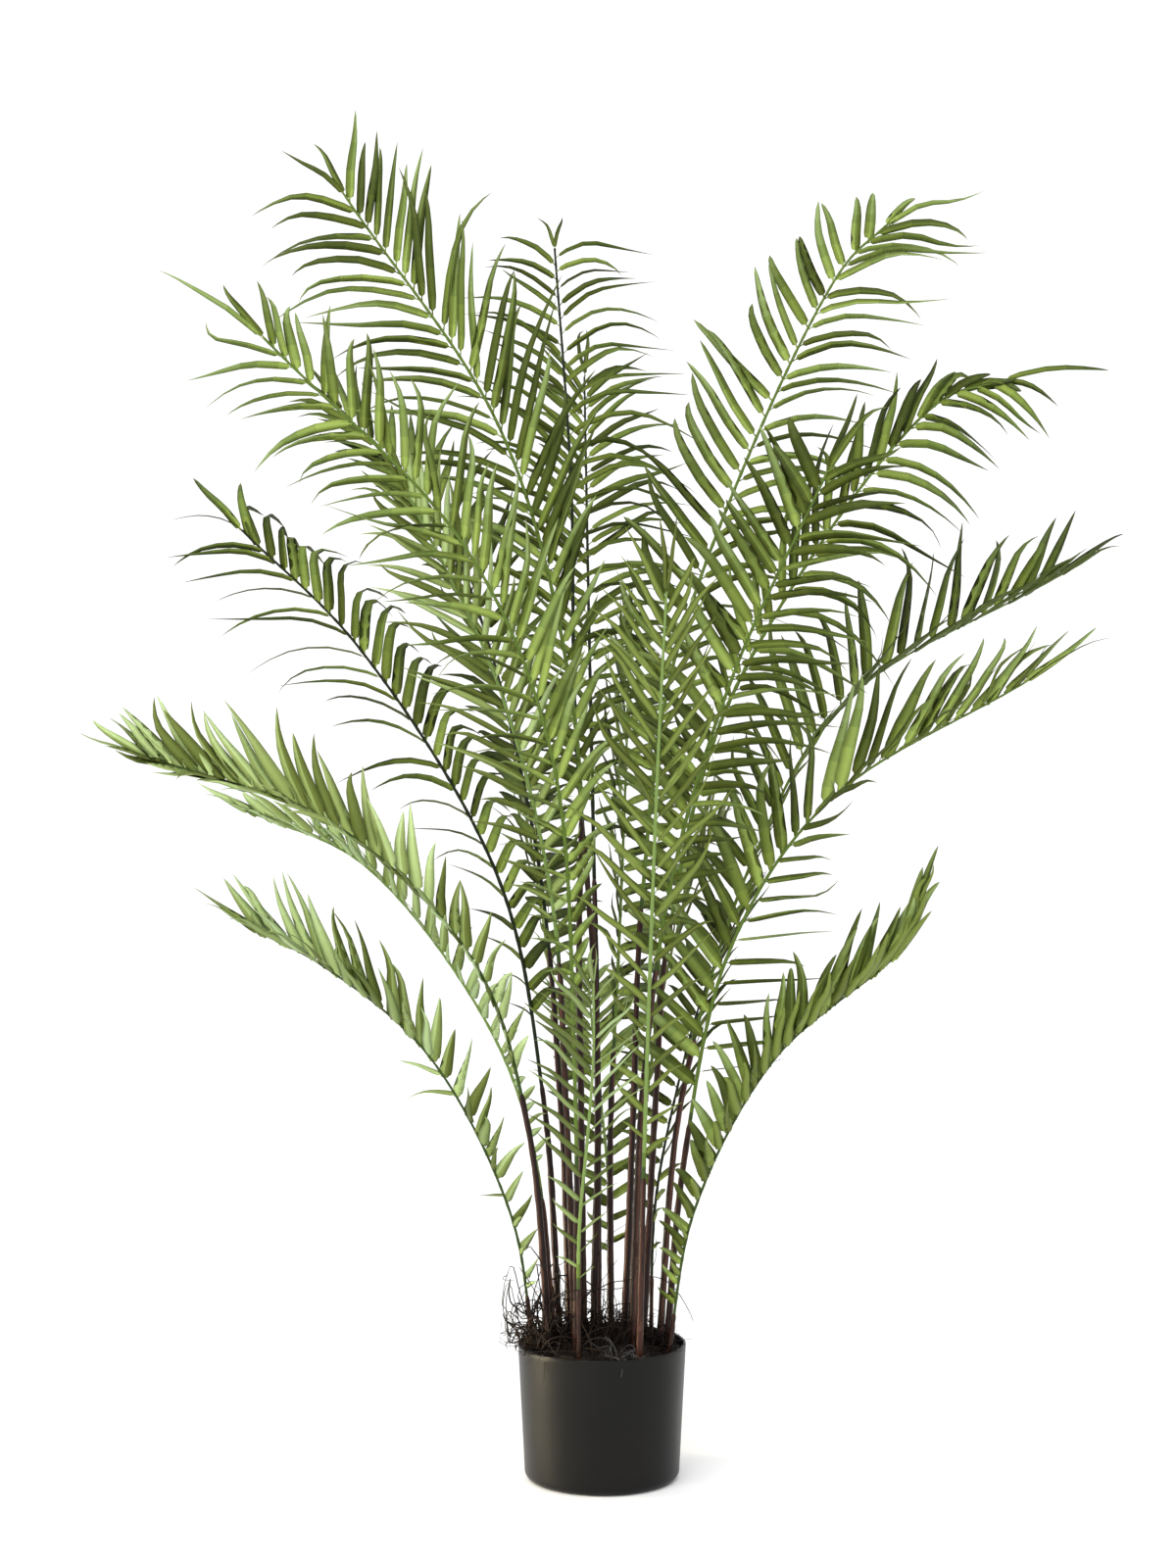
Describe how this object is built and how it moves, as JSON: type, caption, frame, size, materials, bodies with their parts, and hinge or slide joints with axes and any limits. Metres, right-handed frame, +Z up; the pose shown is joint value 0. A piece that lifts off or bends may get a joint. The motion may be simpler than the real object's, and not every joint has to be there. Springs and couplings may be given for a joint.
{
  "type": "potted artificial date palm",
  "caption": "Artificial date palm with arching feather fronds on slender brown stems, planted in a plain round dark pot that it stands on.",
  "frame": {"origin": "centre of the pot's flat underside, on the surface it stands on", "axes": "+Z up along the pot's axis; -Y is the side the picture shows; +X is to its right"},
  "size_m": [1.1418, 1.0168, 1.4723],
  "materials": {
    "pot": "satin dark charcoal plastic",
    "fill": "rough black-brown planting fill",
    "stem": "satin reddish-brown plastic tube",
    "fibre": "matt dark brown fibre",
    "frond_pale": "satin printed cloth, pale yellow-green",
    "frond_mid": "satin printed cloth, green",
    "frond_dark": "satin printed cloth, dark green"
  },
  "bodies": {
    "root": {"pot": "pot", "fill": "fill", "stem_low_left": "stem", "frond_low_left": "frond_pale", "stem_reach_left": "stem", "frond_reach_left": "frond_pale", "stem_under_left": "stem", "frond_under_left": "frond_pale", "stem_mid_left": "stem", "frond_mid_left": "frond_dark", "stem_high_left": "stem", "frond_high_left": "frond_mid", "stem_inner_left": "stem", "frond_inner_left": "frond_pale", "stem_back_left": "stem", "frond_back_left": "frond_dark", "stem_top_left": "stem", "frond_top_left": "frond_mid", "stem_top_centre": "stem", "frond_top_centre": "frond_dark", "stem_top_back": "stem", "frond_top_back": "frond_dark", "stem_top_right": "stem", "frond_top_right": "frond_mid", "stem_high_right": "stem", "frond_high_right": "frond_dark", "stem_inner_right": "stem", "frond_inner_right": "frond_mid", "stem_mid_right": "stem", "frond_mid_right": "frond_dark", "stem_reach_right": "stem", "frond_reach_right": "frond_mid", "stem_low_right": "stem", "frond_low_right": "frond_mid", "stem_centre_front": "stem", "frond_centre_front": "frond_mid", "stem_low_front": "stem", "frond_low_front": "frond_pale", "stem_back_right": "stem", "frond_back_right": "frond_dark", "stem_back_centre": "stem", "frond_back_centre": "frond_dark", "stem_rear_left": "stem", "frond_rear_left": "frond_mid", "stem_rear_right": "stem", "frond_rear_right": "frond_mid", "stem_rear_low": "stem", "frond_rear_low": "frond_mid", "fibre_left": "fibre", "fibre_right": "fibre"}
  },
  "joints": []
}
